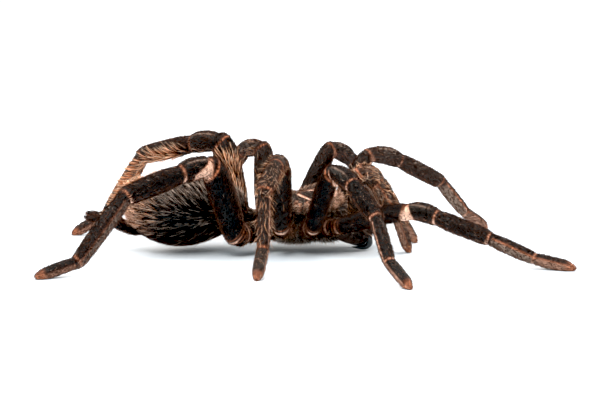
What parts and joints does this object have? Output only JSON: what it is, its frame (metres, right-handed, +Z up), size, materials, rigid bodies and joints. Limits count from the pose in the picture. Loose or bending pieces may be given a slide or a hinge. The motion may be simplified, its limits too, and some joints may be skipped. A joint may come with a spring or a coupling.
{
  "type": "colombian lesserblack tarantula",
  "caption": "Life-size still tarantula standing low on its feet, with a bristly egg-shaped abdomen, domed carapace, jaws, palps and long spinnerets.",
  "frame": {"origin": "on the floor, below the middle of the footprint's box", "axes": "+X towards the head, +Y to the animal's left, +Z up"},
  "size_m": [0.1729, 0.1399, 0.0395],
  "materials": {
    "carapace_hair": "short dark velvet hair with pale rose lines",
    "eye_gloss": "glossy black",
    "underside_hair": "very dark brown hair",
    "abdomen_hair": "dark rust brown coat with long pale bristles",
    "jaw_shell": "dark brown hair over a glossy shell",
    "fang_shell": "polished black horn",
    "spinneret_hair": "short brown hair",
    "femur_hair": "near black velvet hair",
    "patella_hair": "dark brown velvet hair",
    "tibia_hair": "dark brown velvet hair",
    "metatarsus_hair": "brown hair with paler sides",
    "tarsus_hair": "brown hair with a dense foot pad"
  },
  "bodies": {
    "root": {"carapace": "carapace_hair", "eye_tubercle": "eye_gloss", "sternum": "underside_hair", "abdomen": "abdomen_hair", "chelicera_left": "jaw_shell", "fang_left": "fang_shell", "spinneret_left": "spinneret_hair", "chelicera_right": "jaw_shell", "fang_right": "fang_shell", "spinneret_right": "spinneret_hair", "leg_1_right_femur": "femur_hair", "leg_1_right_patella": "patella_hair", "leg_1_right_tibia": "tibia_hair", "leg_1_right_metatarsus": "metatarsus_hair", "leg_1_right_tarsus": "tarsus_hair", "leg_1_left_femur": "femur_hair", "leg_1_left_patella": "patella_hair", "leg_1_left_tibia": "tibia_hair", "leg_1_left_metatarsus": "metatarsus_hair", "leg_1_left_tarsus": "tarsus_hair", "leg_2_right_femur": "femur_hair", "leg_2_right_patella": "patella_hair", "leg_2_right_tibia": "tibia_hair", "leg_2_right_metatarsus": "metatarsus_hair", "leg_2_right_tarsus": "tarsus_hair", "leg_2_left_femur": "femur_hair", "leg_2_left_patella": "patella_hair", "leg_2_left_tibia": "tibia_hair", "leg_2_left_metatarsus": "metatarsus_hair", "leg_2_left_tarsus": "tarsus_hair", "leg_3_right_femur": "femur_hair", "leg_3_right_patella": "patella_hair", "leg_3_right_tibia": "tibia_hair", "leg_3_right_metatarsus": "metatarsus_hair", "leg_3_right_tarsus": "tarsus_hair", "leg_3_left_femur": "femur_hair", "leg_3_left_patella": "patella_hair", "leg_3_left_tibia": "tibia_hair", "leg_3_left_metatarsus": "metatarsus_hair", "leg_3_left_tarsus": "tarsus_hair", "leg_4_right_femur": "femur_hair", "leg_4_right_patella": "patella_hair", "leg_4_right_tibia": "tibia_hair", "leg_4_right_metatarsus": "metatarsus_hair", "leg_4_right_tarsus": "tarsus_hair", "leg_4_left_femur": "femur_hair", "leg_4_left_patella": "patella_hair", "leg_4_left_tibia": "tibia_hair", "leg_4_left_metatarsus": "metatarsus_hair", "leg_4_left_tarsus": "tarsus_hair", "palp_right_femur": "femur_hair", "palp_right_patella": "patella_hair", "palp_right_tibia": "tibia_hair", "palp_right_tarsus": "tarsus_hair", "palp_left_femur": "femur_hair", "palp_left_patella": "patella_hair", "palp_left_tibia": "tibia_hair", "palp_left_tarsus": "tarsus_hair"}
  },
  "joints": []
}
